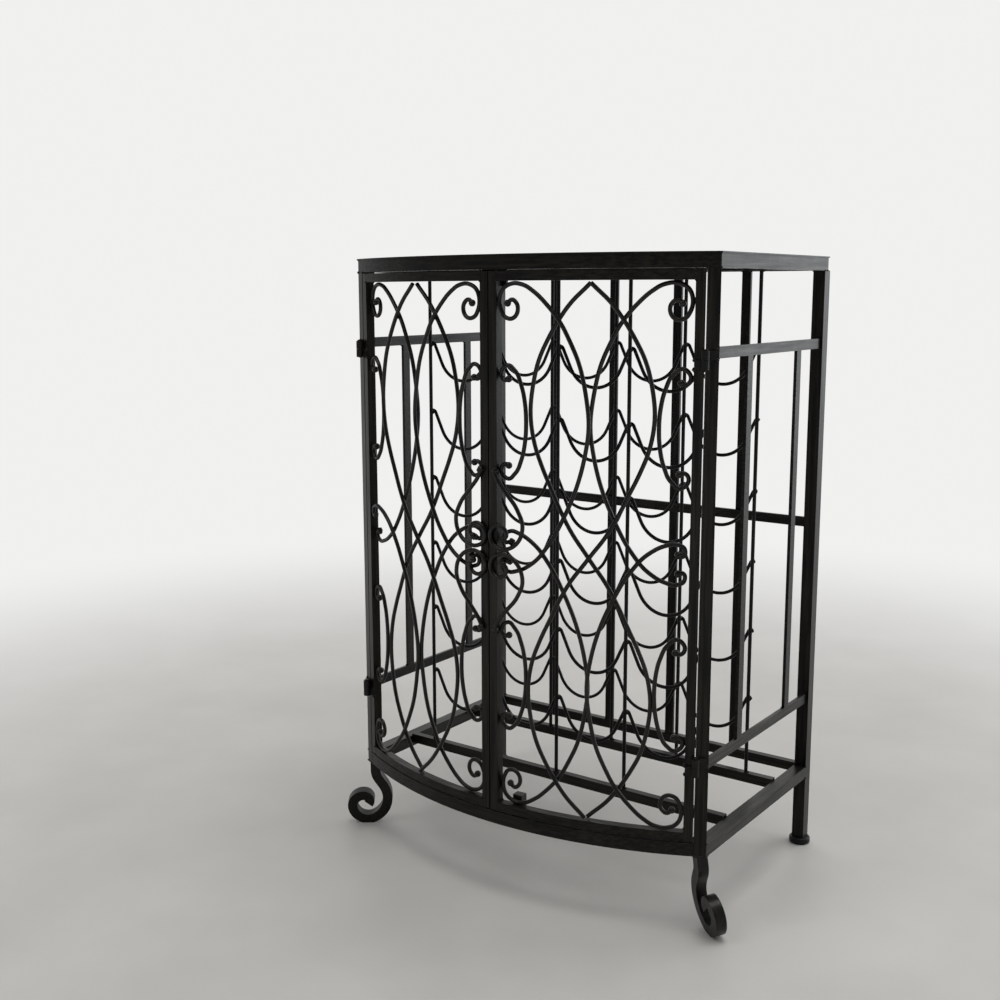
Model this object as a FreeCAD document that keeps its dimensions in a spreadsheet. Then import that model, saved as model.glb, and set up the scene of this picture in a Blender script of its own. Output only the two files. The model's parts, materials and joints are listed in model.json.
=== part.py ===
import FreeCAD, Part
import math
import os

import Sketcher

# Bow-fronted wrought-iron wine rack: a welded tube frame with 24 bottle cradles, closed by two
# scrollwork doors. Millimetres, +Z up, front towards -Y. The origin is on the floor, under the
# middle of the rack.

V = FreeCAD.Vector
Z = V(0, 0, 1)

doc = FreeCAD.newDocument("wine_rack")

# ---------------------------------------------------------------- driving dimensions
DIMENSIONS = [
    ("width", 660, "outside width over the front posts"),
    ("rear_face", 236.5, "back face of the rear posts"),
    ("front_corner", -152.5, "outer front corners of the front posts"),
    ("bow_radius", 683, "outer radius of the curved front"),
    ("total_height", 990, "floor to the top sheet"),
    ("rail_base", 120, "underside of the bottom rails"),
    ("tube", 20, "square tube of posts, rims and rails"),
    ("front_post", 18, "front posts, measured along the bow"),
    ("wall", 1.5, "wall of the square tube"),
    ("sheet_thick", 2, "top sheet"),
    ("overhang", 2, "top sheet past the rim"),
    ("rim_corner", 10, "rounded rear corners of the rim"),
    ("flat_wide", 16, "wide side of the flat bars"),
    ("flat_thick", 5, "thin side of the flat bars"),
    ("flat_inset", 4, "side bars behind the outer face of the frame"),
    ("upper_bar", 845, "underside of the upper side bars"),
    ("lower_bar", 253, "underside of the lower side bars"),
    ("cross_bar", 552, "underside of the rear cross bar"),
    ("spindle_front", -42.5, "front side spindles, middle of the bar"),
    ("spindle_rear", 133.5, "rear side spindles, middle of the bar"),
    ("rack_rail_wide", 12, "front to back size of the rack rails"),
    ("rack_rail_high", 16, "height of the rack rails"),
    ("rack_front", -50.5, "front rack plane, centre of its rods"),
    ("rack_rear", 128.5, "rear rack plane, centre of its rods"),
    ("rack_raise", 4, "rack floor rails above the bottom rails"),
    ("rack_rod", 3, "radius of the rack rods"),
    ("cradle_wire", 2.75, "radius of the cradle wire"),
    ("column_pitch", 130.5, "bottle column spacing"),
    ("row_pitch", 115.6, "bottle row spacing"),
    ("row_first", 209.5, "lowest point of the first cradle, wire centre"),
    ("cradle_rise", 63, "cradle valley to peak, wire centre"),
    ("valley_radius", 50, "cradle under a bottle, wire centre"),
    ("peak_radius", 6, "cradle over a rod, wire centre"),
    ("touch", 0.05, "weld seam between round bars"),
    ("stile", 14, "square bar of the door frames"),
    ("door_gap", 2, "gap above, below and between the doors"),
    ("hinge_gap", 2, "gap between a door and its post"),
    ("door_rod", 3.2, "radius of the scroll rods"),
    ("eye_ball", 5.2, "radius of the knobs at the scroll ends"),
    ("layer", 3.25, "front and rear layer of the crossing rods"),
    ("pin_radius", 2.5, "hinge pin"),
    ("pin_play", 0.06, "running clearance on the hinge pin"),
    ("knuckle_radius", 6, "hinge barrel"),
    ("knuckle_high", 13, "one hinge knuckle"),
    ("upper_hinge", 830, "underside of the upper hinges"),
    ("lower_hinge", 246, "underside of the lower hinges"),
    ("foot_bar", 17, "square bar of the front feet"),
    ("glide_radius", 17.5, "rear glide"),
    ("glide_high", 11, "rear glide height"),
]

sheet = doc.addObject("Spreadsheet::Sheet", "sheet")
for row, (alias, value, note) in enumerate(DIMENSIONS, start=1):
    sheet.set("A%d" % row, alias.replace("_", " "))
    sheet.set("B%d" % row, str(value))
    sheet.set("C%d" % row, note)
    sheet.setAlias("B%d" % row, alias)
doc.recompute()


def dim(alias):
    """The value of one driving dimension."""
    return float(sheet.get(alias))


WIDTH = dim("width")
HALF = WIDTH / 2
FRONT = dim("front_corner")
REAR = dim("rear_face")
RADIUS = dim("bow_radius")
TUBE = dim("tube")
FRONT_POST = dim("front_post")
WALL = dim("wall")
BASE = dim("rail_base")
RAIL_TOP = BASE + TUBE
RACK_FLOOR = RAIL_TOP + dim("rack_raise")
RIM_TOP = dim("total_height") - dim("sheet_thick")
RIM_BASE = RIM_TOP - TUBE
STILE = dim("stile")
GAP = dim("door_gap")
ROD = dim("door_rod")

# The front bow is part of a circle through the two front corners.
BOW_Y = FRONT + math.sqrt(RADIUS ** 2 - HALF ** 2)
BOW_END = math.asin(HALF / RADIUS)
DOOR_START = GAP / 2 / RADIUS
DOOR_END = BOW_END - (FRONT_POST + dim("hinge_gap")) / RADIUS
MIDDLE = RADIUS - STILE / 2
nodes = {}


def bow_point(angle, radius, z):
    """Point on the bow: angle from the middle of the front towards +X, radius from the bow axis."""
    return V(radius * math.sin(angle), BOW_Y - radius * math.cos(angle), z)


def tied(feature, prop, expression):
    """Bind one property to the sheet."""
    feature.setExpression(prop, expression)
    return feature


def keep(name, feature):
    """Register a finished sub-part under its node name."""
    feature.Label = name
    nodes[name] = feature
    return feature


# ---------------------------------------------------------------- sketches and bodies
def plane(body, role):
    return next(f for f in body.Origin.OriginFeatures if f.Role == role)


def new_sketch(body, name, role="XY_Plane", offset=0):
    sketch = body.newObject("Sketcher::SketchObject", name)
    sketch.AttachmentSupport = [(plane(body, role), "")]
    sketch.MapMode = "FlatFace"
    sketch.AttachmentOffset = FreeCAD.Placement(V(0, 0, offset), FreeCAD.Rotation())
    return sketch


def draw_loop(sketch, edges):
    """Closed loop of lines and arcs, joined end to end. An edge is (start, end) or (start, mid, end)."""
    ends = []
    for edge in edges:
        if len(edge) == 2:
            index = sketch.addGeometry(Part.LineSegment(edge[0], edge[1]), False)
            ends.append((index, 1, 2))
        else:
            index = sketch.addGeometry(Part.Arc(*edge), False)
            start = sketch.getPoint(index, 1)
            flipped = start.distanceToPoint(edge[0]) > 1e-6
            ends.append((index, 2, 1) if flipped else (index, 1, 2))
    for this, following in zip(ends, ends[1:] + ends[:1]):
        sketch.addConstraint(Sketcher.Constraint("Coincident", this[0], this[2], following[0], following[1]))


def polygon(points):
    return [(a, b) for a, b in zip(points, points[1:] + points[:1])]


def draw_rectangle(sketch, wide, deep):
    """Rectangle centred on the sketch origin, its two sizes bound to sheet expressions."""
    draw_loop(sketch, polygon([V(-1, -1, 0), V(1, -1, 0), V(1, 1, 0), V(-1, 1, 0)]))
    first = sketch.GeometryCount - 4
    for index, kind in enumerate(("Horizontal", "Vertical", "Horizontal", "Vertical")):
        sketch.addConstraint(Sketcher.Constraint(kind, first + index))
    sketch.addConstraint(Sketcher.Constraint("Symmetric", first, 1, first + 2, 1, -1, 1))
    for kind, end, expression in (("DistanceX", (first, 1, first, 2), wide),
                                  ("DistanceY", (first + 1, 1, first + 1, 2), deep)):
        number = sketch.addConstraint(Sketcher.Constraint(kind, *end, 2.0))
        sketch.setExpression("Constraints[%d]" % number, expression)


def new_body(name, placement):
    body = doc.addObject("PartDesign::Body", name)
    body.Placement = placement
    return body


def pad(body, sketch, length):
    feature = body.newObject("PartDesign::Pad", "pad")
    feature.Profile = sketch
    tied(feature, "Length", length)
    sketch.Visibility = False
    return feature


def straight_bar(name, placement, wide, deep, length, hollow=False):
    """Straight bar or square tube, standing on the body's XY plane."""
    body = new_body(name, placement)
    sketch = new_sketch(body, name + "_section")
    draw_rectangle(sketch, wide, deep)
    if hollow:
        draw_rectangle(sketch, wide + " - 2 * sheet.wall", deep + " - 2 * sheet.wall")
    pad(body, sketch, length)
    return body


def outline_bar(name, placement, outer, high, inner=None):
    """Bar cut to an outline in plan; inner is the outline of the hollow inside a tube."""
    body = new_body(name, placement)
    sketch = new_sketch(body, name + "_outline")
    draw_loop(sketch, outer)
    pad(body, sketch, high)
    if inner:
        hollow = new_sketch(body, name + "_hollow", offset=WALL)
        draw_loop(hollow, inner)
        doc.recompute()
        pocket = body.newObject("PartDesign::Pocket", "pocket")
        pocket.Profile = hollow
        pocket.Reversed = True
        tied(pocket, "Length", high + " - 2 * sheet.wall")
        hollow.Visibility = False
    return body


def group(name, members):
    """Several like solids that make one sub-part."""
    compound = doc.addObject("Part::Compound", name)
    compound.Links = members
    return keep(name, compound)


def box(name, corner, size):
    """Box whose three sizes are numbers or sheet expressions."""
    feature = doc.addObject("Part::Box", name)
    for prop, value in zip(("Length", "Width", "Height"), size):
        if isinstance(value, str):
            tied(feature, prop, value)
        else:
            setattr(feature, prop, value)
    feature.Placement = FreeCAD.Placement(corner, FreeCAD.Rotation())
    return feature


def cylinder(name, base, radius, high):
    feature = doc.addObject("Part::Cylinder", name)
    tied(feature, "Radius", radius)
    tied(feature, "Height", high)
    feature.Placement = FreeCAD.Placement(base, FreeCAD.Rotation())
    return feature


# ---------------------------------------------------------------- curved bars in plan
def arc_band(inner, outer, start, end):
    """Outline of a strip of the bow in plan, seen from the bow axis."""
    def at(angle, radius):
        return V(radius * math.sin(angle), -radius * math.cos(angle), 0)
    mid = (start + end) / 2
    return [
        (at(start, outer), at(mid, outer), at(end, outer)),
        (at(end, outer), at(end, inner)),
        (at(end, inner), at(mid, inner), at(start, inner)),
        (at(start, inner), at(start, outer)),
    ]


def bow_rail(name, z, section, start, end):
    """Square tube rolled to the bow, between two angles."""
    size = dim(section)
    inset = WALL / RADIUS
    placement = FreeCAD.Placement(V(0, BOW_Y, z), FreeCAD.Rotation())
    outer = arc_band(RADIUS - size, RADIUS, start, end)
    inner = arc_band(RADIUS - size + WALL, RADIUS - WALL, start + inset, end - inset)
    return keep(name, outline_bar(name, placement, outer, "sheet." + section, inner))


def side_rail(name, side, z, rounded):
    """Side tube, cut at the front to meet the end of the curved rail."""
    corner = V(side * HALF, FRONT, 0)
    inner_end = bow_point(side * BOW_END, RADIUS - TUBE, 0)
    inner_face = HALF - TUBE
    inner_y = BOW_Y - math.sqrt((RADIUS - TUBE) ** 2 - inner_face ** 2)
    rear = REAR if rounded else REAR - TUBE
    points = [corner, inner_end, V(side * inner_face, inner_y, 0), V(side * inner_face, rear, 0)]
    if rounded:
        curve = dim("rim_corner")
        bend = V(side * (HALF - curve), rear - curve, 0)
        reach = curve * math.sqrt(0.5)
        first = V(side * (HALF - curve), rear, 0)
        last = V(side * HALF, rear - curve, 0)
        mid = bend + V(side * reach, reach, 0)
        outline = polygon(points + [first, last])
        outline[4] = (first, mid, last)
    else:
        outline = polygon(points + [V(side * HALF, rear, 0)])
    near = inner_end.y + WALL
    far = rear - (dim("rim_corner") if rounded else WALL)
    hollow = polygon([
        V(side * (inner_face + WALL), near, 0), V(side * (HALF - WALL), near, 0),
        V(side * (HALF - WALL), far, 0), V(side * (inner_face + WALL), far, 0)])
    placement = FreeCAD.Placement(V(0, 0, z), FreeCAD.Rotation())
    return keep(name, outline_bar(name, placement, outline, "sheet.tube", hollow))


# ---------------------------------------------------------------- bent rods
def arc_between(start, tangent, end):
    """The arc, or straight run, that leaves start along tangent and reaches end."""
    chord = end - start
    normal = chord - tangent * chord.dot(tangent)
    if normal.Length < 1e-5 * chord.Length:
        return Part.LineSegment(start, end).toShape()
    normal.normalize()
    radius = chord.dot(chord) / (2 * chord.dot(normal))
    centre = start + normal * radius
    middle = (start + end) / 2 - centre
    if middle.Length < 1e-6:
        middle = tangent * 1.0
    elif chord.dot(tangent) < 0:
        middle = middle * -1.0
    middle.normalize()
    return Part.Arc(start, centre + middle * radius, end).toShape()


def two_arcs(start, leaving, end, arriving):
    """Two tangent arcs from start to end with the given directions at both."""
    chord = end - start
    total = leaving + arriving
    square = 2 * (1 - leaving.dot(arriving))
    along = chord.dot(total)
    if square < 1e-9:
        reach = chord.dot(chord) / (2 * along)
    else:
        reach = (-along + math.sqrt(along ** 2 + square * chord.dot(chord))) / square
    joint = (start + end + (leaving - arriving) * reach) / 2
    meeting = joint - start - leaving * reach
    meeting.normalize()
    return [arc_between(start, leaving, joint), arc_between(joint, meeting, end)]


def smooth_path(points):
    """Tangent arcs through the points."""
    tangents = []
    for index, point in enumerate(points):
        before = points[max(index - 1, 0)]
        after = points[min(index + 1, len(points) - 1)]
        back = (point - before).Length or 1.0
        ahead = (after - point).Length or 1.0
        direction = (point - before) * (ahead / back) + (after - point) * (back / ahead)
        direction.normalize()
        tangents.append(direction)
    edges = []
    for index in range(len(points) - 1):
        edges += two_arcs(points[index], tangents[index], points[index + 1], tangents[index + 1])
    return edges


def round_rod(edges, radius):
    """Round rod along a path of tangent runs and arcs."""
    first = edges[0]
    start = first.valueAt(first.FirstParameter)
    direction = first.tangentAt(first.FirstParameter)
    profile = Part.Face(Part.Wire(Part.Circle(start, direction, radius).toShape()))
    return Part.Wire(edges).makePipe(profile)


def rod_feature(name, solids):
    """Sub-part of one or more bent rods."""
    feature = doc.addObject("Part::Feature", name)
    feature.Shape = solids[0] if len(solids) == 1 else Part.makeCompound(solids)
    feature.Placement = FreeCAD.Placement()
    return keep(name, feature)


# ---------------------------------------------------------------- posts, rims and rails
def turned(angle):
    return FreeCAD.Rotation(Z, math.degrees(angle))


def corner_point(side, inward, outward, z):
    """Point beside a front corner: inward along the bow, outward from its face."""
    along = V(math.cos(BOW_END), side * math.sin(BOW_END), 0)
    normal = V(side * math.sin(BOW_END), -math.cos(BOW_END), 0)
    return V(side * HALF, FRONT, z) - along * (side * inward) + normal * outward


def build_posts():
    for side, hand in ((-1, "left"), (1, "right")):
        middle = corner_point(side, FRONT_POST / 2, -TUBE / 2, BASE)
        front = straight_bar("front_post_" + hand, FreeCAD.Placement(middle, turned(side * BOW_END)),
                             "sheet.front_post", "sheet.tube",
                             "sheet.total_height - sheet.sheet_thick - sheet.tube - sheet.rail_base", True)
        keep("front_post_" + hand, front)
        foot = V(side * (HALF - TUBE / 2), REAR - TUBE / 2, dim("glide_high"))
        rear = straight_bar("rear_post_" + hand, FreeCAD.Placement(foot, FreeCAD.Rotation()),
                            "sheet.tube", "sheet.tube",
                            "sheet.total_height - sheet.sheet_thick - sheet.tube - sheet.glide_high", True)
        keep("rear_post_" + hand, rear)
        side_rail("top_rim_" + hand, side, RIM_BASE, True)
        side_rail("bottom_rail_" + hand, side, BASE, False)


def across(name, y, z, deep, high, hollow):
    """Bar from side to side between the side tubes; y and z are its middle."""
    placement = FreeCAD.Placement(V(TUBE - HALF, y, z), FreeCAD.Rotation(V(0, 1, 0), 90))
    return straight_bar(name, placement, high, deep, "sheet.width - 2 * sheet.tube", hollow)


def build_cross_members():
    bow_rail("top_rim_front", RIM_BASE, "tube", -BOW_END, BOW_END)
    between_posts = BOW_END - FRONT_POST / (RADIUS - TUBE)
    bow_rail("bottom_rail_front", BASE, "tube", -between_posts, between_posts)
    keep("top_rim_rear", across("top_rim_rear", REAR - TUBE / 2, RIM_BASE + TUBE / 2,
                                "sheet.tube", "sheet.tube", True))
    deep = dim("rack_rail_wide")
    high = dim("rack_rail_high")
    keep("bottom_rail_rear", across("bottom_rail_rear", REAR - deep / 2, RAIL_TOP - high / 2,
                                    "sheet.rack_rail_wide", "sheet.rack_rail_high", True))
    for name, z in (("rack_bottom_rails", RACK_FLOOR - high / 2), ("rack_top_rails", RIM_BASE + high / 2)):
        group(name, [across(name + "_" + place, dim("rack_" + place), z,
                            "sheet.rack_rail_wide", "sheet.rack_rail_high", True)
                     for place in ("front", "rear")])


def build_top_sheet():
    """Thin sheet over the rim, a little larger than it all round."""
    over = dim("overhang")
    curve = dim("rim_corner") + over
    reach = curve * math.sqrt(0.5)
    outer = RADIUS + over
    end = math.asin((HALF + over) / outer)
    front_right = bow_point(end, outer, 0)
    front_left = bow_point(-end, outer, 0)
    edge = HALF + over
    back = REAR + over
    right = V(edge - curve, back - curve, 0)
    left = V(curve - edge, back - curve, 0)
    outline = [
        (front_left, bow_point(0, outer, 0), front_right),
        (front_right, V(edge, back - curve, 0)),
        (V(edge, back - curve, 0), right + V(reach, reach, 0), V(edge - curve, back, 0)),
        (V(edge - curve, back, 0), V(curve - edge, back, 0)),
        (V(curve - edge, back, 0), left + V(-reach, reach, 0), V(-edge, back - curve, 0)),
        (V(-edge, back - curve, 0), front_left),
    ]
    placement = FreeCAD.Placement(V(0, 0, RIM_TOP), FreeCAD.Rotation())
    keep("top_sheet", outline_bar("top_sheet", placement, outline, "sheet.sheet_thick"))


# ---------------------------------------------------------------- flat bars
def build_side_bars():
    thick = dim("flat_thick")
    outer = HALF - dim("flat_inset")
    slope = math.cos(BOW_END) / math.sin(BOW_END)
    bars = []
    for side, hand in ((-1, "left"), (1, "right")):
        near = FRONT + (HALF - outer) * slope
        outline = polygon([
            V(side * outer, near, 0), V(side * (outer - thick), near + thick * slope, 0),
            V(side * (outer - thick), REAR - TUBE, 0), V(side * outer, REAR - TUBE, 0)])
        for level in ("lower", "upper"):
            placement = FreeCAD.Placement(V(0, 0, dim(level + "_bar")), FreeCAD.Rotation())
            bars.append(outline_bar("%s_%s_bar" % (hand, level), placement, outline, "sheet.flat_wide"))
    group("side_bars", bars)


def build_spindles():
    thick = dim("flat_thick")
    wide = dim("flat_wide")
    outer = HALF - dim("flat_inset")
    spindles = []
    for side, hand in ((-1, "left"), (1, "right")):
        x = outer - thick if side > 0 else -outer
        for place in ("front", "rear"):
            corner = V(x, dim("spindle_" + place) - wide / 2, dim("lower_bar") + wide)
            spindles.append(box("spindle_%s_%s" % (hand, place), corner, (
                "sheet.flat_thick", "sheet.flat_wide",
                "sheet.upper_bar - sheet.lower_bar - sheet.flat_wide")))
    group("side_spindles", spindles)
    y = REAR - 11
    slats = []
    for index in range(4):
        x = (index - 1.5) * (WIDTH - 2 * TUBE + wide) / 5 - wide / 2
        slats.append(box("slat_%d" % (index + 1), V(x, y, RAIL_TOP), (
            "sheet.flat_wide", "sheet.flat_thick",
            "sheet.total_height - sheet.sheet_thick - 2 * sheet.tube - sheet.rail_base")))
    group("rear_slats", slats)
    keep("rear_cross_bar", box("rear_cross_bar", V(TUBE - HALF, y - thick, dim("cross_bar")), (
        "sheet.width - 2 * sheet.tube", "sheet.flat_thick", "sheet.flat_wide")))


# ---------------------------------------------------------------- bottle rack
def build_rack_rods():
    for place in ("front", "rear"):
        rods = []
        for index in range(5):
            base = V((index - 2) * dim("column_pitch"), dim("rack_" + place), RACK_FLOOR)
            rods.append(cylinder("rod_%s_%d" % (place, index + 1), base, "sheet.rack_rod",
                                 "sheet.total_height - sheet.sheet_thick - 2 * sheet.tube - sheet.rail_base"
                                 " - sheet.rack_raise"))
        group("rack_rods_" + place, rods)


def cradle_path():
    """Wavy line of four valleys and the peaks between them, in tangent arcs and straight runs."""
    valley = dim("valley_radius")
    peak = dim("peak_radius")
    rise = dim("cradle_rise")
    half = dim("column_pitch") / 2
    peak_z = rise - peak
    slant = math.atan2(peak_z - valley, half)
    turn = slant - math.acos((valley + peak) / math.hypot(half, peak_z - valley))
    low = V(valley * math.cos(turn), valley + valley * math.sin(turn), 0)
    high = V(half - peak * math.cos(turn), peak_z - peak * math.sin(turn), 0)
    shoulder = (3 * math.pi / 2 + turn) / 2
    round_off = V(half + peak * math.cos(shoulder), peak_z + peak * math.sin(shoulder), 0)
    edges = []
    for column in range(4):
        x = (column - 1.5) * 2 * half

        def at(point, side, middle=x):
            return V(middle + side * point.x, point.y, 0)
        crest = V(half, rise, 0)
        edges += [
            (at(crest, -1), at(round_off, -1), at(high, -1)),
            (at(high, -1), at(low, -1)),
            (at(low, -1), V(x, 0, 0), at(low, 1)),
            (at(low, 1), at(high, 1)),
            (at(high, 1), at(round_off, 1), at(crest, 1)),
        ]
    return edges


def build_cradles():
    path = cradle_path()
    behind = dim("rack_rod") + dim("cradle_wire") + dim("touch")
    for place in ("front", "rear"):
        for row in range(6):
            name = "cradle_%s_%d" % (place, row + 1)
            level = V(0, dim("rack_" + place) + behind, dim("row_first") + row * dim("row_pitch"))
            body = new_body(name, FreeCAD.Placement(level, FreeCAD.Rotation()))
            spine = new_sketch(body, name + "_path", "XZ_Plane")
            for edge in path:
                spine.addGeometry(Part.LineSegment(*edge) if len(edge) == 2 else Part.Arc(*edge), False)
            wire = new_sketch(body, name + "_wire", "YZ_Plane", -2 * dim("column_pitch"))
            circle = wire.addGeometry(Part.Circle(V(0, dim("cradle_rise"), 0), V(0, 0, 1), 1.0), False)
            number = wire.addConstraint(Sketcher.Constraint("Radius", circle, 1.0))
            wire.setExpression("Constraints[%d]" % number, "sheet.cradle_wire")
            pipe = body.newObject("PartDesign::AdditivePipe", "pipe")
            pipe.Profile = wire
            pipe.Spine = spine
            keep(name, body)


# ---------------------------------------------------------------- feet
FOOT_TURNS = [
    # (radius, degrees); a zero radius is a straight run of that many millimetres
    (0, 17.65), (32, -32), (0, 14), (50, 32), (44, 60), (27, 120), (20, 90), (10.5, 128),
]
FOOT_SPLAY = math.radians(38)
FOOT_LEAN = math.radians(8.5)
FOOT_SINK = 2


def foot_outline():
    """Both edges of the bent foot bar; x runs outwards from the post, y is the height."""
    half = dim("foot_bar") / 2
    place = V(0, 0, 0)
    heading = -math.pi / 2
    left = []
    right = []

    def offset(point, angle, distance):
        return point + V(-math.sin(angle), math.cos(angle), 0) * distance

    for radius, amount in FOOT_TURNS:
        start = place
        start_heading = heading
        if radius:
            turn = math.radians(amount)
            centre = offset(start, heading, math.copysign(radius, turn))
            heading += turn
            place = offset(centre, heading, -math.copysign(radius, turn))
            halfway = start_heading + turn / 2
            middle = offset(centre, halfway, -math.copysign(radius, turn))
        else:
            place = start + V(math.cos(heading), math.sin(heading), 0) * amount
            middle = None
        for path, reach in ((left, half), (right, -half)):
            points = [offset(start, start_heading, reach), offset(place, heading, reach)]
            if middle:
                points.insert(1, offset(middle, halfway, reach))
            path.append(tuple(points))
    back = [tuple(reversed(edge)) for edge in reversed(right)]
    return left + [(left[-1][-1], back[0][0])] + back + [(back[-1][-1], left[0][0])]


def build_feet():
    """Bent feet that lean outwards, trimmed flat under the post and on the floor."""
    outline = foot_outline()
    half = dim("foot_bar") / 2
    for side, hand in ((-1, "left"), (1, "right")):
        out = V(side * math.cos(FOOT_SPLAY), -math.sin(FOOT_SPLAY), 0)
        up = Z * math.cos(FOOT_LEAN) + out.cross(Z) * (side * math.sin(FOOT_LEAN))
        across_bar = out.cross(up)
        under_post = corner_point(side, FRONT_POST / 2, -TUBE / 2, BASE)
        top = under_post + up * FOOT_SINK - across_bar * half
        placement = FreeCAD.Placement(top, FreeCAD.Rotation(out, up, across_bar, "XYZ"))
        bar = outline_bar("foot_bar_" + hand, placement, outline, "sheet.foot_bar")
        slab = box("foot_slab_" + hand, under_post - V(120, 120, BASE), (240, 240, "sheet.rail_base"))
        trimmed = doc.addObject("Part::Common", "front_foot_" + hand)
        trimmed.Base = bar
        trimmed.Tool = slab
        keep("front_foot_" + hand, trimmed)
    glides = []
    for side, hand in ((-1, "left"), (1, "right")):
        base = V(side * (HALF - TUBE / 2), REAR - TUBE / 2, 0)
        body = new_body("glide_" + hand, FreeCAD.Placement(base, FreeCAD.Rotation()))
        profile = new_sketch(body, "glide_profile_" + hand, "XZ_Plane")
        wide = dim("glide_radius")
        tall = dim("glide_high")
        soft = tall * 0.3
        cut = soft * (1 - math.sqrt(0.5))
        draw_loop(profile, [
            (V(0, 0, 0), V(wide - soft, 0, 0)),
            (V(wide - soft, 0, 0), V(wide - cut, cut, 0), V(wide, soft, 0)),
            (V(wide, soft, 0), V(wide, tall - soft, 0)),
            (V(wide, tall - soft, 0), V(wide - cut, tall - cut, 0), V(wide - soft, tall, 0)),
            (V(wide - soft, tall, 0), V(0, tall, 0)),
            (V(0, tall, 0), V(0, 0, 0)),
        ])
        turn = body.newObject("PartDesign::Revolution", "turn")
        turn.Profile = profile
        turn.ReferenceAxis = (profile, ["V_Axis"])
        turn.Angle = 360
        glides.append(body)
    group("rear_glides", glides)


# ---------------------------------------------------------------- door scrollwork
DOOR_MIDDLE = (DOOR_START + DOOR_END) / 2
DOOR_LEVEL = (RAIL_TOP + RIM_BASE) / 2

# Each curve is drawn on the flattened door: x from its middle towards the hinge, y from its middle
# upwards, z out from the middle of the frame in rod layers.
CORNER_SCROLL = [
    (-129, 366), (-122, 371), (-114, 366), (-112, 355), (-120.5, 344.5), (-132, 345.5), (-140.5, 357),
    (-142.7, 371), (-136.5, 386.5), (-121, 394), (-103, 392), (-84.5, 381.5), (-65.5, 364.5),
    (-44.5, 339.5), (-28, 310), (-16, 283), (-5.5, 241), (-0.3, 190), (-6, 148), (-20, 98),
    (-37.5, 58), (-60, 18), (-88, -14), (-111, -27), (-129, -30), (-139.5, -23), (-137.5, -13),
    (-128.5, -14),
]
WAVE = [
    (-1.2, 394.4), (-34, 363), (-49, 343), (-64, 319), (-80, 287), (-89.5, 252), (-94, 205),
    (-87.5, 164), (-73, 126), (-60, 99), (-43, 64), (-30, 41), (0, 0), (30, -41), (43, -64),
    (60, -99), (73, -126), (87.5, -164), (94, -205), (89.5, -252), (80, -287), (64, -319),
    (49, -343), (34, -363), (1.2, -394.4),
]
SIDE_SCROLL = [
    (-129.3, 256.7), (-134.5, 254.7), (-140, 257.2), (-142.5, 263.5), (-139.5, 271.5), (-131, 276.5),
    (-118.5, 269), (-107.5, 247), (-101.4, 220), (-99.8, 195), (-101.2, 168), (-107, 141),
    (-118, 118.5), (-131, 109.5), (-139.5, 114.5), (-142.5, 122.5), (-140, 128.8), (-134.5, 131.3),
    (-129.3, 129.3),
]
CENTRE_SCROLL = [
    (-150, 121), (-143, 108), (-128, 89.5), (-109, 66), (-100, 42), (-106, 20), (-121, 7),
    (-139, 4.1), (-152, 11), (-156.5, 23), (-152, 34.5), (-141, 39.5), (-130.5, 34.5), (-127.5, 25),
    (-133.5, 18.5),
]


def door_point(side, x, y, layer):
    """Point of the flattened door, wrapped on to the bow."""
    angle = side * (DOOR_MIDDLE + x / MIDDLE)
    return bow_point(angle, MIDDLE + layer, DOOR_LEVEL + y)


def scroll(side, curve, flip_x, flip_y, layer, knobs):
    """One scroll rod with a round knob at the ends that curl in."""
    points = [door_point(side, flip_x * x, flip_y * y, layer) for x, y in curve]
    edges = smooth_path(points)
    rod = round_rod(edges, ROD)
    for index in knobs:
        edge = edges[index]
        along = edge.tangentAt(edge.FirstParameter if index == 0 else edge.LastParameter)
        rod = rod.fuse(Part.makeSphere(dim("eye_ball"), points[index], along))
    return rod


def build_scrollwork(side, hand):
    layer = dim("layer")
    door = hand + "_door_"
    rod_feature(door + "upper_scrolls", [
        scroll(side, CORNER_SCROLL, 1, 1, layer, (0,)),
        scroll(side, CORNER_SCROLL, -1, 1, -layer, (0,))])
    rod_feature(door + "lower_scrolls", [
        scroll(side, CORNER_SCROLL, 1, -1, -layer, (0,)),
        scroll(side, CORNER_SCROLL, -1, -1, layer, (0,))])
    rod_feature(door + "wave_rods", [
        scroll(side, WAVE, 1, 1, -layer, ()),
        scroll(side, WAVE, -1, 1, layer, ())])
    rod_feature(door + "side_scrolls", [
        scroll(side, SIDE_SCROLL, flip_x, flip_y, 0, (0, -1))
        for flip_x in (1, -1) for flip_y in (1, -1)])
    in_front = STILE / 2 + ROD + dim("touch")
    rod_feature(door + "centre_scrolls", [
        scroll(side, CENTRE_SCROLL, 1, flip_y, in_front, (-1,)) for flip_y in (1, -1)])


# ---------------------------------------------------------------- doors
def build_door(side, hand):
    door = hand + "_door_"
    level = RAIL_TOP + GAP
    tall = "sheet.total_height - sheet.sheet_thick - 2 * sheet.tube - sheet.rail_base - 2 * sheet.door_gap"
    half_stile = STILE / 2 / RADIUS
    for name, angle in (("meeting_stile", DOOR_START + half_stile), ("hinge_stile", DOOR_END - half_stile)):
        placement = FreeCAD.Placement(bow_point(side * angle, MIDDLE, level), turned(side * angle))
        keep(door + name, straight_bar(door + name, placement, "sheet.stile", "sheet.stile", tall, True))
    reach = STILE / (RADIUS - STILE)
    ends = sorted((side * (DOOR_START + reach), side * (DOOR_END - reach)))
    bow_rail(door + "bottom_rail", level, "stile", *ends)
    bow_rail(door + "top_rail", RIM_BASE - GAP - STILE, "stile", *ends)
    build_scrollwork(side, hand)


def ring(base, outer, inner, high):
    """Hinge knuckle with its bore."""
    return Part.makeCylinder(outer, high, base).cut(Part.makeCylinder(inner, high + 2, base - Z))


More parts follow.
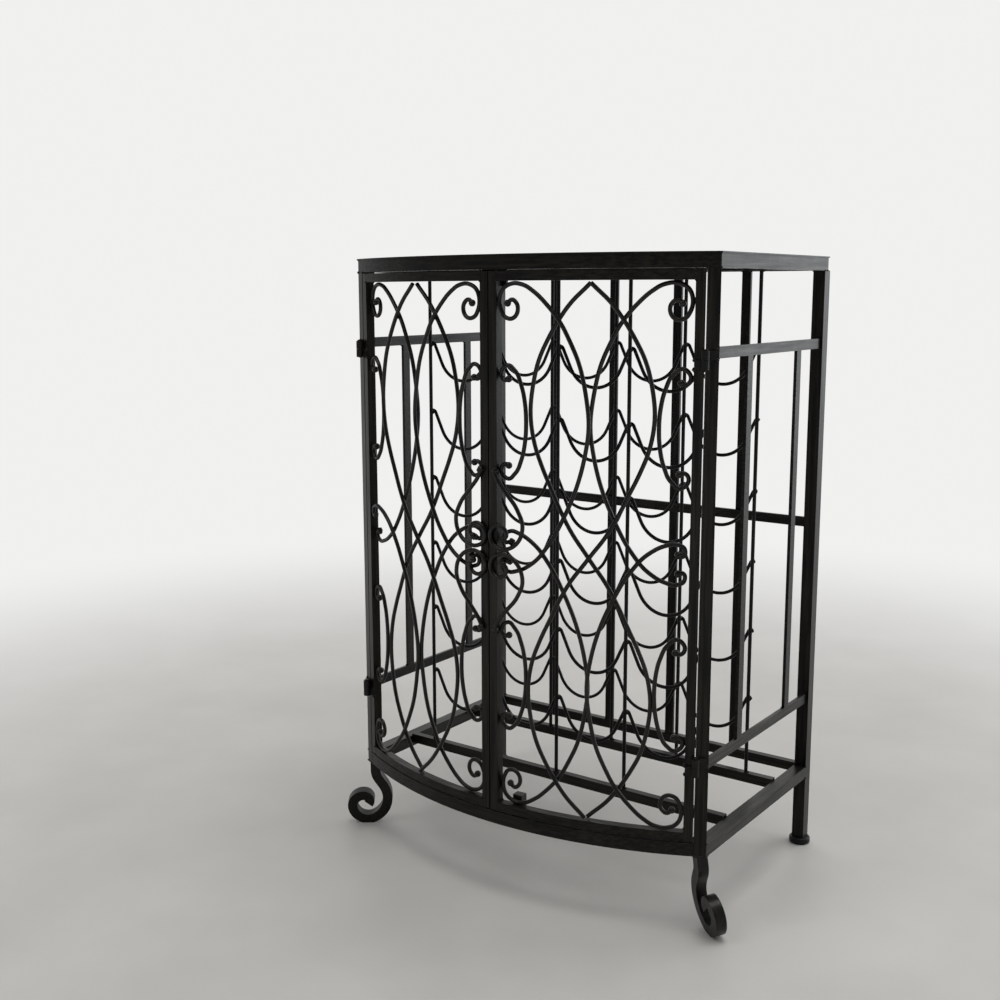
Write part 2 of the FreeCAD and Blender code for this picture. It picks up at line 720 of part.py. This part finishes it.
def plate_beside(side, inner, outer, z, high, thick):
    """Hinge leaf lying on the front of the corner, between two distances from it."""
    leaf = Part.makeBox(abs(outer - inner), thick, high)
    leaf.Placement = FreeCAD.Placement(
        corner_point(side, max(inner, outer) if side > 0 else min(inner, outer), thick, z),
        turned(side * BOW_END))
    return leaf


def build_hinges():
    barrel = dim("knuckle_radius")
    high = dim("knuckle_high")
    bore = dim("pin_radius") + dim("pin_play")
    slit = FRONT_POST + dim("hinge_gap") / 2
    out = barrel + 0.3
    leaf = 3
    posts = []
    pins = []
    for side, hand in ((-1, "left"), (1, "right")):
        doors = []
        for level in (dim("lower_hinge"), dim("upper_hinge")):
            foot = corner_point(side, slit, out, level)
            door_eye = ring(foot, barrel, bore, high)
            hole = Part.makeCylinder(bore, 4 * high, foot - Z * high)
            doors.append(door_eye.fuse(door_leaf(side, level, high, leaf)).cut(hole))
            above = level + high + 0.4
            post_eye = ring(V(foot.x, foot.y, above), barrel, bore, high)
            post_leaf = plate_beside(side, slit - 3, 3, above, high, leaf)
            posts.append(post_eye.fuse(post_leaf).cut(hole))
            pin = Part.makeCylinder(dim("pin_radius"), 2 * high + 1.4, foot - Z)
            head = Part.makeCylinder(dim("pin_radius") + 1.5, 2, V(foot.x, foot.y, above + high))
            pins.append(pin.fuse(head).removeSplitter())
        rod_feature(hand + "_door_hinge_knuckles", doors)
    rod_feature("post_hinge_knuckles", posts)
    rod_feature("hinge_pins", pins)


def door_leaf(side, level, high, leaf):
    """Leaf of a door knuckle, flat on the front of the hinge stile."""
    angle = DOOR_END - STILE / 2 / RADIUS
    wide = STILE - 1
    plate = Part.makeBox(wide, leaf, high)
    along = V(math.cos(angle), side * math.sin(angle), 0)
    face = bow_point(side * angle, RADIUS, level)
    normal = V(side * math.sin(angle), -math.cos(angle), 0)
    plate.Placement = FreeCAD.Placement(face - along * (wide / 2) + normal * leaf, turned(side * angle))
    return plate


def build_stops():
    """Stop tab under the front rim and the catch block behind the right door."""
    tab = box("stop_tab", V(-22, BOW_Y - 667.2, RIM_BASE - 24), (44, 4, 24))
    angle = 41 / RADIUS
    catch = box("catch_block", bow_point(angle, 667.2, RAIL_TOP) - V(8, 0, 0), (16, 14, 28))
    catch.Placement.Rotation = turned(angle)
    group("door_stops", [tab, catch])


build_posts()
build_cross_members()
build_top_sheet()
build_side_bars()
build_spindles()
build_rack_rods()
build_cradles()
build_feet()
build_door(-1, "left")
build_door(1, "right")
build_hinges()
build_stops()
doc.recompute()

# ---------------------------------------------------------------- checks and export
for feature in doc.Objects:
    if "Invalid" in feature.State or "Error" in feature.State:
        raise RuntimeError("%s did not rebuild: %s" % (feature.Label, feature.State))
for name, feature in nodes.items():
    shape = feature.Shape
    if shape.isNull() or not shape.isValid() or not shape.Solids:
        raise RuntimeError("%s has no valid solid" % name)

os.makedirs("parts", exist_ok=True)
for name, feature in nodes.items():
    feature.Shape.exportStep(os.path.join("parts", name + ".step"))
print("%d sub-parts written" % len(nodes))
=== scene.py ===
import json
import math
import random

import bmesh
import bpy
from mathutils import Matrix, Vector, noise
from mathutils.bvhtree import BVHTree

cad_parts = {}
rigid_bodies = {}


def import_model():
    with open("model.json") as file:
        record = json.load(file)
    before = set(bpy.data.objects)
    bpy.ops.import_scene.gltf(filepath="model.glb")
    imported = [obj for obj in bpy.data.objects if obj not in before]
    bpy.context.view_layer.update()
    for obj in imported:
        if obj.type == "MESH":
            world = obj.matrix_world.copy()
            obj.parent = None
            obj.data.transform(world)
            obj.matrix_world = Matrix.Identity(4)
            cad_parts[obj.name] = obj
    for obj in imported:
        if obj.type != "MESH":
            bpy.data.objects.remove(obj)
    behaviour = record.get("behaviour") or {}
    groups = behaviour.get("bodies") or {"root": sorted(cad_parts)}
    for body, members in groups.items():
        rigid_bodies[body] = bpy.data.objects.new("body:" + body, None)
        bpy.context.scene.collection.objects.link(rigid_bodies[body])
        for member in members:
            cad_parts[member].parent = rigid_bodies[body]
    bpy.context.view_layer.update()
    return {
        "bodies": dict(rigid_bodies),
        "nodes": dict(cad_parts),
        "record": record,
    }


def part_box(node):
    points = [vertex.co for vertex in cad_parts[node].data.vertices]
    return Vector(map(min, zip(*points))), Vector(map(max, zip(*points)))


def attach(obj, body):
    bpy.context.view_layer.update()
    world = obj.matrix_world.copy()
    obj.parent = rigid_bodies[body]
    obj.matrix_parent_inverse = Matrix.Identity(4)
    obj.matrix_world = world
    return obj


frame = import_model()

nodes = frame["nodes"]
MM = 0.001

# ---------------------------------------------------------------- driving sizes, metres
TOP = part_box("top_sheet")[1].z
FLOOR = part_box("front_foot_left")[0].z
DOOR_RADIUS = 676 * MM       # middle of the door frames, from the axis of the bow
BOW_Y = 445.5 * MM           # axis of the bow, behind the origin
DOOR_MIDDLE = 163 * MM       # middle of a door, along the bow from the middle of the front
DOOR_LEVEL = (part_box("left_door_bottom_rail")[0].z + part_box("left_door_top_rail")[1].z) / 2
LAYER = 3.25 * MM            # front and rear layer of the crossing rods
IN_FRONT = 10.25 * MM        # layer of the scrolls that lie on the front of the stiles
EDGE = 0.9 * MM              # rounding of the bar edges
WELD_REACH = 0.4 * MM        # parts nearer than this are welded together
WELD_SPACING = 9 * MM
WELD_SIZES = ((1.4 * MM, 2.0 * MM), (2.6 * MM, 3.6 * MM))     # between bars, and on round rods
CRADLE_WELD = (3.6 * MM, 5.0 * MM)                            # cradle wires on the rack rods
BLOB_SIZE = (5.4 * MM, 4.6 * MM)                              # width and thickness at a scroll end
SCROLL_END = Vector((128.5, 14)) * MM    # where the corner scrolls end, from the middle of a door
RING_END = Vector((150, 121)) * MM       # where the centre scrolls end
COLLAR_REACH = 8.6 * MM      # half the side of the square weld collar over a foot
COLLAR_TURN = math.radians(29)           # the front posts are turned to follow the bow
COLLAR_BEADS = 24
random.seed(7)


# ---------------------------------------------------------------- materials
def node(tree, kind, **values):
    """A new shader node; values set its properties or its input sockets by name."""
    made = tree.nodes.new(kind)
    for key, value in values.items():
        if hasattr(made, key):
            setattr(made, key, value)
        else:
            made.inputs[key.replace("_", " ")].default_value = value
    return made


def ramp(tree, source, stops):
    """Colour ramp of (place, colour) stops, fed by a socket."""
    made = tree.nodes.new("ShaderNodeValToRGB")
    elements = made.color_ramp.elements
    while len(elements) < len(stops):
        elements.new(0.5)
    for element, (place, colour) in zip(elements, stops):
        element.position = place
        element.color = (*colour, 1) if len(colour) == 3 else colour
    tree.links.new(source, made.inputs["Fac"])
    return made.outputs["Color"]


def spread(tree, source, low, high):
    """The middle of a noise socket, 0.3 to 0.7, stretched to low-high."""
    made = tree.nodes.new("ShaderNodeMapRange")
    made.inputs["From Min"].default_value = 0.3
    made.inputs["From Max"].default_value = 0.7
    made.inputs["To Min"].default_value = low
    made.inputs["To Max"].default_value = high
    tree.links.new(source, made.inputs["Value"])
    return made.outputs["Result"]


def grain(tree, place, scale, stretch=(1, 1, 1), detail=4.0, rough=0.55):
    """Noise in object space, drawn out along the axes that stretch makes small."""
    mapping = tree.nodes.new("ShaderNodeMapping")
    mapping.inputs["Scale"].default_value = stretch
    tree.links.new(place, mapping.inputs["Vector"])
    made = node(tree, "ShaderNodeTexNoise", Scale=scale, Detail=detail, Roughness=rough)
    tree.links.new(mapping.outputs["Vector"], made.inputs["Vector"])
    return made.outputs["Fac"]


def iron(name, dark, rubbed, rough, stretch=(1, 1, 1), metal=0.2, hammer=0.25, cover=0.5,
         brushed=0.42, gloss=0.22):
    """Dark paint over iron: dark and rubbed patches, brush streaks along stretch, orange peel."""
    material = bpy.data.materials.new(name)
    material.use_nodes = True
    tree = material.node_tree
    shader = tree.nodes["Principled BSDF"]
    place = tree.nodes.new("ShaderNodeTexCoord").outputs["Object"]
    patches = grain(tree, place, 14, (1, 1, 0.45), 5.0, 0.6)
    streaks = grain(tree, place, 260, stretch, 3.0, 0.6)
    blend = node(tree, "ShaderNodeMix", data_type="FLOAT")
    blend.inputs[0].default_value = brushed
    tree.links.new(patches, blend.inputs[2])
    tree.links.new(streaks, blend.inputs[3])
    worn = blend.outputs[0]
    middle = tuple((a + b) / 2 for a, b in zip(dark, rubbed))
    colour = ramp(tree, worn, [(cover - 0.12, dark), (cover, middle), (cover + 0.13, rubbed)])
    tree.links.new(colour, shader.inputs["Base Color"])
    tree.links.new(spread(tree, worn, 0, metal), shader.inputs["Metallic"])
    tree.links.new(spread(tree, worn, rough + 0.07, rough - 0.09), shader.inputs["Roughness"])
    shader.inputs["Specular IOR Level"].default_value = gloss
    dents = grain(tree, place, 95, (1, 1, 0.8), 2.0)
    peel = grain(tree, place, 900, (1, 1, 1), 2.0)
    coarse = node(tree, "ShaderNodeBump", Strength=hammer, Distance=0.0006)
    fine = node(tree, "ShaderNodeBump", Strength=0.22, Distance=0.00012)
    tree.links.new(dents, coarse.inputs["Height"])
    tree.links.new(peel, fine.inputs["Height"])
    tree.links.new(coarse.outputs["Normal"], fine.inputs["Normal"])
    tree.links.new(fine.outputs["Normal"], shader.inputs["Normal"])
    return material


BLACK = (0.0018, 0.0018, 0.0018)
BRONZE = (0.027, 0.0245, 0.0190)
BRUSHED = {"metal": 0.45, "cover": 0.53, "brushed": 0.68}
LOOKS = {
    "frame_iron": iron("frame_iron", BLACK, BRONZE, 0.38, (1, 1, 0.035), **BRUSHED),
    "frame_along_x": iron("frame_along_x", BLACK, BRONZE, 0.38, (0.035, 1, 1), **BRUSHED),
    "frame_along_y": iron("frame_along_y", BLACK, BRONZE, 0.38, (1, 0.035, 1), **BRUSHED),
    "scroll_iron": iron("scroll_iron", BLACK, (0.019, 0.0172, 0.0138), 0.32, (1, 1, 0.5), metal=0.4,
                        hammer=0.5, gloss=0.35),
    "rack_wire": iron("rack_wire", (0.003, 0.003, 0.003), (0.007, 0.0066, 0.0062), 0.42,
                      hammer=0.15),
    "foot_iron": iron("foot_iron", BLACK, (0.020, 0.018, 0.0145), 0.34, (1, 1, 0.5), hammer=0.5),
    "top_steel": iron("top_steel", (0.005, 0.005, 0.005), (0.011, 0.0105, 0.010), 0.36, (0.1, 1, 1),
                      hammer=0.08),
    "hinge_steel": iron("hinge_steel", (0.004, 0.004, 0.004), (0.016, 0.0145, 0.013), 0.35,
                        hammer=0.3),
    "glide_plastic": iron("glide_plastic", (0.005, 0.005, 0.005), (0.009, 0.009, 0.009), 0.5,
                          metal=0.0, hammer=0.12),
    "weld": iron("weld", (0.004, 0.0038, 0.0036), (0.016, 0.0135, 0.011), 0.45, hammer=0.8),
    "edge": iron("edge", (0.006, 0.0055, 0.0045), (0.080, 0.070, 0.052), 0.30, (1, 1, 0.3),
                 metal=0.6, cover=0.48),
}

slot_of = {part["node"]: part["material_slot"] for part in frame["record"]["subparts"]}


def look_of(name):
    """The slot's material; long level bars of the frame get the one brushed along them."""
    slot = slot_of[name]
    low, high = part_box(name)
    size = high - low
    if slot != "frame_iron" or size.z > max(size.x, size.y):
        return LOOKS[slot]
    if "side_bars" in name or size.y > size.x:
        return LOOKS["frame_along_y"]
    return LOOKS["frame_along_x"]


ROUND_PARTS = ("cradle", "rack_rods", "scrolls", "wave_rods", "glides", "knuckles", "pins")
for name, part in nodes.items():
    part.data.materials.clear()
    part.data.materials.append(look_of(name))
    if any(word in name for word in ROUND_PARTS):
        continue
    part.data.materials.append(LOOKS["edge"])
    bevel = part.modifiers.new("rounded edges", "BEVEL")
    bevel.width = min(EDGE, 0.6 * MM) if name == "top_sheet" else EDGE
    bevel.segments = 3
    bevel.limit_method = "ANGLE"
    bevel.angle_limit = math.radians(40)
    bevel.material = 1
    bevel.harden_normals = False


# ---------------------------------------------------------------- welds
def lump(mesh, centre, normal, wide, thick, seed):
    """A knobbly bead: a flattened ball drawn out of round by noise."""
    turn = Vector((0, 0, 1)).rotation_difference(normal).to_matrix()
    shift = Vector((seed, 0, 0))
    ball = bmesh.ops.create_icosphere(mesh, subdivisions=3, radius=1.0)["verts"]
    for vertex in ball:
        direction = vertex.co.normalized()
        swell = (1 + 0.28 * noise.noise(direction * 1.6 + shift)
                 + 0.12 * noise.noise(direction * 4 + shift))
        shaped = Vector((direction.x * wide, direction.y * wide, direction.z * thick)) * swell
        vertex.co = centre + turn @ shaped


def new_piece(name, mesh, body, slot, look=None):
    """A smooth piece that rides on a body."""
    piece = bpy.data.objects.new(name, bpy.data.meshes.new(name))
    mesh.to_mesh(piece.data)
    mesh.free()
    piece.data.polygons.foreach_set("use_smooth", [True] * len(piece.data.polygons))
    piece.data.materials.append(LOOKS[look or slot])
    bpy.context.scene.collection.objects.link(piece)
    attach(piece, body)
    return piece


def contacts(first, second):
    """Places where two parts meet, thinned out to WELD_SPACING, each with the contact normal."""
    found = []
    for walker, wall in ((first, second), (second, first)):
        tree = trees[wall]
        for vertex in nodes[walker].data.vertices:
            place, normal, _, distance = tree.find_nearest(vertex.co, WELD_REACH)
            if place is None or any((place - other).length < WELD_SPACING for other, _ in found):
                continue
            found.append((place.copy(), normal.copy()))
    return found


def boxes_meet(first, second):
    """True if the boxes of two parts come within WELD_REACH."""
    (low_a, high_a), (low_b, high_b) = boxes[first], boxes[second]
    return all(low_a[i] < high_b[i] + WELD_REACH and low_b[i] < high_a[i] + WELD_REACH
               for i in range(3))


NO_WELD = ("top_sheet", "rear_glides", "hinge_pins")
trees = {}
boxes = {}
for name, part in nodes.items():
    trees[name] = BVHTree.FromPolygons([v.co for v in part.data.vertices],
                                       [p.vertices for p in part.data.polygons])
    boxes[name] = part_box(name)


def welds(body):
    """All weld beads of one body, as one piece."""
    mesh = bmesh.new()
    members = [n for n in frame["record"]["behaviour"]["bodies"][body] if n not in NO_WELD]
    for index, first in enumerate(members):
        for second in members[index + 1:]:
            if not boxes_meet(first, second):
                continue
            rods = sum(any(word in n for word in ROUND_PARTS) for n in (first, second))
            for place, normal in contacts(first, second):
                smallest, largest = WELD_SIZES[min(rods, 1)]
                if "cradle" in first and "rack_rods" in second:
                    smallest, largest = CRADLE_WELD
                wide = random.uniform(smallest, largest)
                thick = wide * random.uniform(0.6, 0.8)
                lump(mesh, place, normal, wide, thick, random.uniform(0, 50))
    return new_piece(body + "_welds", mesh, body, "frame_iron", "weld")


for body in frame["bodies"]:
    welds(body)


# ---------------------------------------------------------------- forged ends of the scrolls
def door_point(side, along, up, layer):
    """Point of the flattened door: along it from its middle towards the hinge, up, and outwards."""
    angle = side * (DOOR_MIDDLE + along) / DOOR_RADIUS
    reach = DOOR_RADIUS + layer
    place = Vector((reach * math.sin(angle), BOW_Y - reach * math.cos(angle), DOOR_LEVEL + up))
    return place, Vector((math.sin(angle), -math.cos(angle), 0))


def forged_ends(side, body):
    """Hammered blobs where the corner and centre scrolls of a door end."""
    mesh = bmesh.new()
    ends = [(-SCROLL_END.x, -SCROLL_END.y, LAYER), (SCROLL_END.x, -SCROLL_END.y, -LAYER),
            (-SCROLL_END.x, SCROLL_END.y, -LAYER), (SCROLL_END.x, SCROLL_END.y, LAYER),
            (-RING_END.x, RING_END.y, IN_FRONT), (-RING_END.x, -RING_END.y, IN_FRONT)]
    for along, up, layer in ends:
        place, outwards = door_point(side, along, up, layer)
        lump(mesh, place, outwards, *BLOB_SIZE, random.uniform(0, 50))
    return new_piece(body + "_forged_ends", mesh, body, "scroll_iron")


def foot_collars():
    """Weld collar between each front post and its foot."""
    mesh = bmesh.new()
    for hand in ("left", "right"):
        low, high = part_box("front_post_" + hand)
        middle = (low + high) / 2
        middle.z = low.z
        turn = Matrix.Rotation(COLLAR_TURN if hand == "right" else -COLLAR_TURN, 3, "Z")
        for index in range(COLLAR_BEADS):
            along, across = ring_place(index / COLLAR_BEADS * 4)
            place = middle + turn @ (Vector((along, across, 0)) * COLLAR_REACH)
            lump(mesh, place, Vector((0, 0, 1)), random.uniform(2.2, 2.9) * MM,
                 random.uniform(1.5, 2.1) * MM, random.uniform(0, 50))
    return new_piece("foot_collars", mesh, "frame", "foot_iron")


def ring_place(corner):
    """Point on a square ring, corner running from 0 to 4 round it."""
    side = int(corner)
    step = 2 * (corner - side) - 1
    return ((step, -1), (1, step), (-step, 1), (-1, -step))[side]


for side, body in ((-1, "left_door"), (1, "right_door")):
    forged_ends(side, body)
foot_collars()


# ---------------------------------------------------------------- floor, light and camera
CAMERA = (1.0921, -1.7097, 0.9375)
CAMERA_TURN = 36.04          # degrees to the left of +Y
CAMERA_TILT = 9.54           # degrees downwards
CAMERA_ROLL = -0.15
LENS = 44.8                  # millimetres, on a 36 mm sensor
FLOOR_REACH = 9              # radius of the floor
FADE = (0.8, 2.8)            # distances from the rack between which the floor fades into the walls
WALL_TONE = (0.875, 0.875, 0.865)
FRONT_TONE = (0.06, 0.063, 0.068)        # what the iron mirrors in front of it


def floor():
    """Pale floor that fades into the pale walls away from the rack."""
    bpy.ops.mesh.primitive_circle_add(vertices=96, radius=FLOOR_REACH, fill_type="NGON",
                                      location=(0, 0, FLOOR))
    ground = bpy.context.object
    ground.name = "floor"
    material = bpy.data.materials.new("pale floor")
    material.use_nodes = True
    tree = material.node_tree
    shader = tree.nodes["Principled BSDF"]
    place = tree.nodes.new("ShaderNodeTexCoord").outputs["Object"]
    tone = grain(tree, place, 3, (1, 1, 1), 3.0)
    colour = ramp(tree, tone, [(0.35, (0.50, 0.485, 0.46)), (0.65, (0.55, 0.535, 0.51))])
    tree.links.new(colour, shader.inputs["Base Color"])
    shader.inputs["Roughness"].default_value = 0.5
    away = node(tree, "ShaderNodeVectorMath", operation="LENGTH")
    tree.links.new(place, away.inputs[0])
    far = node(tree, "ShaderNodeMapRange", interpolation_type="SMOOTHSTEP")
    far.inputs["From Min"].default_value = FADE[0]
    far.inputs["From Max"].default_value = FADE[1]
    tree.links.new(away.outputs["Value"], far.inputs["Value"])
    wall = node(tree, "ShaderNodeEmission", Strength=1.0)
    wall.inputs["Color"].default_value = (*WALL_TONE, 1)
    blend = tree.nodes.new("ShaderNodeMixShader")
    tree.links.new(far.outputs["Result"], blend.inputs["Fac"])
    tree.links.new(shader.outputs["BSDF"], blend.inputs[1])
    tree.links.new(wall.outputs["Emission"], blend.inputs[2])
    tree.links.new(blend.outputs["Shader"], tree.nodes["Material Output"].inputs["Surface"])
    ground.data.materials.append(material)


def area_light(name, place, aim, size, power, colour=(1, 1, 1)):
    """Round soft light, hidden from the camera itself."""
    light = bpy.data.lights.new(name, "AREA")
    light.shape = "DISK"
    light.size = size
    light.energy = power
    light.color = colour
    holder = bpy.data.objects.new(name, light)
    holder.location = place
    holder.rotation_euler = (Vector(aim) - Vector(place)).to_track_quat("-Z", "Y").to_euler()
    holder.visible_camera = False
    bpy.context.scene.collection.objects.link(holder)


def sky():
    """Soft studio with plain pale walls; what the iron mirrors gets dimmer towards the front."""
    world = bpy.data.worlds.new("studio")
    world.use_nodes = True
    tree = world.node_tree
    place = tree.nodes.new("ShaderNodeTexCoord").outputs["Generated"]
    turned = node(tree, "ShaderNodeVectorMath", operation="DOT_PRODUCT")
    turned.inputs[1].default_value = (0, 1, 0)
    tree.links.new(place, turned.inputs[0])
    depth = tree.nodes.new("ShaderNodeMapRange")
    depth.inputs["From Min"].default_value = -0.5
    depth.inputs["From Max"].default_value = 0.5
    tree.links.new(turned.outputs["Value"], depth.inputs["Value"])
    colour = ramp(tree, depth.outputs["Result"], [(0.0, FRONT_TONE), (1.0, WALL_TONE)])
    around = tree.nodes["Background"]
    tree.links.new(colour, around.inputs["Color"])
    walls = node(tree, "ShaderNodeBackground", Strength=1.0)
    walls.inputs["Color"].default_value = (*WALL_TONE, 1)
    blend = tree.nodes.new("ShaderNodeMixShader")
    tree.links.new(tree.nodes.new("ShaderNodeLightPath").outputs["Is Camera Ray"], blend.inputs["Fac"])
    tree.links.new(around.outputs["Background"], blend.inputs[1])
    tree.links.new(walls.outputs["Background"], blend.inputs[2])
    tree.links.new(blend.outputs["Shader"], tree.nodes["World Output"].inputs["Surface"])
    bpy.context.scene.world = world


def camera(place, turn, tilt, roll, lens):
    """The camera of the scene; the angles are in degrees."""
    data = bpy.data.cameras.new("camera")
    data.sensor_width = 36
    data.lens = lens
    data.clip_start = 0.01
    holder = bpy.data.objects.new("camera", data)
    holder.location = place
    turned, tilted, rolled = (Matrix.Rotation(math.radians(angle), 3, axis)
                              for angle, axis in ((turn, "Z"), (90 - tilt, "X"), (roll, "Z")))
    holder.rotation_euler = (turned @ tilted @ rolled).to_euler()
    bpy.context.scene.collection.objects.link(holder)
    bpy.context.scene.camera = holder


floor()
sky()
bpy.context.scene.view_settings.view_transform = "Standard"
middle = (0, 0, TOP * 0.5)
area_light("key", (-1.4, -2.6, 3.4), middle, 2.0, 26)
area_light("window", (2.7, 3.3, 1.5), middle, 3.2, 64, (0.90, 0.95, 1.0))
area_light("ceiling", (0.6, -0.2, 4.0), middle, 2.4, 60)
camera(CAMERA, CAMERA_TURN, CAMERA_TILT, CAMERA_ROLL, LENS)
